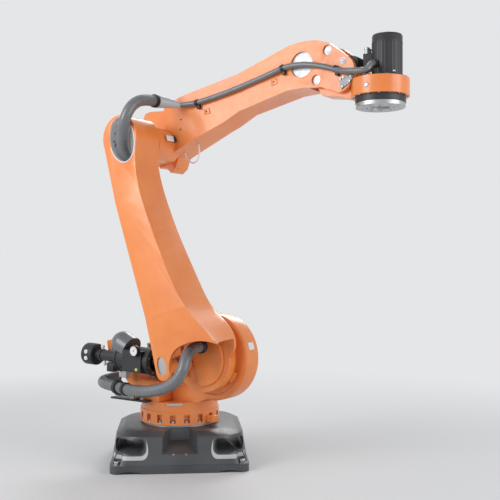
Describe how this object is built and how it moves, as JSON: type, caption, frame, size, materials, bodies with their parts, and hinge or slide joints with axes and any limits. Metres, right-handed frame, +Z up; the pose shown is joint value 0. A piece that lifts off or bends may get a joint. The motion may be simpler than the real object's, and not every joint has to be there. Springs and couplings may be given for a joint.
{
  "type": "industrial robot arm",
  "caption": "Floor-standing palletising robot arm on a square base, with a turning column, link arm, upper arm, level wrist, hoses and a balancing cylinder.",
  "frame": {"origin": "on the floor under the first axis, at the middle of the base frame", "axes": "+X and +Y along the base frame's sides, +Z up along the first axis; at rest the arm points 40 degrees clockwise from +X seen from above"},
  "size_m": [1.8653, 1.4791, 2.4862],
  "materials": {
    "orange_paint": "satin paint on rough castings",
    "dark_paint": "satin dark grey paint",
    "motor_black": "satin black",
    "steel": "turned steel",
    "cast_grey": "grey paint",
    "hose_grey": "ribbed dark hose",
    "sleeve_grey": "light grey sleeve",
    "liner_white": "white plate",
    "gauge_face": "pale face, dark rim"
  },
  "bodies": {
    "base": {"base_frame": "dark_paint", "slewing_ring": "steel", "socket_plate": "motor_black"},
    "column": {"column_casting": "orange_paint", "rear_horn": "orange_paint", "trunnion_shaft": "steel", "turn_motor": "motor_black", "shoulder_motor": "motor_black", "shoulder_ring": "orange_paint", "turn_stop": "orange_paint", "lower_hose": "hose_grey", "hose_bracket": "motor_black"},
    "link": {"link_arm": "orange_paint", "balancer_pin": "steel", "pin_cap": "steel", "hub_cover": "orange_paint", "port_liner": "liner_white"},
    "arm": {"arm_casting": "orange_paint", "recess_covers": "steel", "elbow_flange": "orange_paint", "elbow_motor": "motor_black", "upper_hose": "hose_grey", "hose_sleeve": "sleeve_grey", "thin_hose": "hose_grey", "wrist_bracket": "cast_grey", "service_cable": "sleeve_grey"},
    "wrist": {"wrist_housing": "orange_paint", "wrist_gear": "motor_black", "wrist_motor": "motor_black", "wrist_cover": "motor_black"},
    "tool": {"tool_flange": "steel"},
    "barrel": {"balancer_barrel": "motor_black", "barrel_end_cap": "motor_black", "valve_block": "motor_black", "accumulator": "cast_grey", "pressure_gauge": "gauge_face"},
    "rod": {"piston_rod": "steel"}
  },
  "joints": [
    {"name": "column_turn", "type": "hinge", "parent": "base", "child": "column", "pos_m": [0, 0, 0.251], "axis": [0, 0, 1], "range_deg": [-145, 225]},
    {"name": "link_swing", "type": "hinge", "parent": "column", "child": "link", "pos_m": [0.26812, -0.22498, 0.675], "axis": [0.6428, 0.766, 0], "range_deg": [-34.2, 100.8], "deforming": ["lower_hose"]},
    {"name": "arm_swing", "type": "hinge", "parent": "link", "child": "arm", "pos_m": [-0.01347, 0.0113, 1.97399], "axis": [-0.6428, -0.766, 0], "range_deg": [-63.6, 91.4], "deforming": ["upper_hose"]},
    {"name": "wrist_swing", "type": "hinge", "parent": "arm", "child": "wrist", "pos_m": [0.91401, -0.76694, 2.28486], "axis": [0.6428, 0.766, 0], "range_deg": [-50, 60], "deforming": ["thin_hose"]},
    {"name": "tool_spin", "type": "hinge", "parent": "wrist", "child": "tool", "pos_m": [1.081, -0.90707, 2.08186], "axis": [0, 0, 1], "range_deg": [-350, 350]},
    {"name": "barrel_swing", "type": "hinge", "parent": "column", "child": "barrel", "pos_m": [-0.44193, -0.05996, 0.66], "axis": [0.6428, 0.766, 0], "range_deg": [-15.2, 5.2]},
    {"name": "rod_swing", "type": "hinge", "parent": "link", "child": "rod", "pos_m": [-0.02877, -0.40664, 0.64369], "axis": [0.6428, 0.766, 0], "range_deg": [-116, 39.4]}
  ],
  "couplings": [
    {"joint": "barrel_swing", "follows": "link_swing", "ratio": -0.15},
    {"joint": "rod_swing", "follows": "link_swing", "ratio": -1.15}
  ]
}
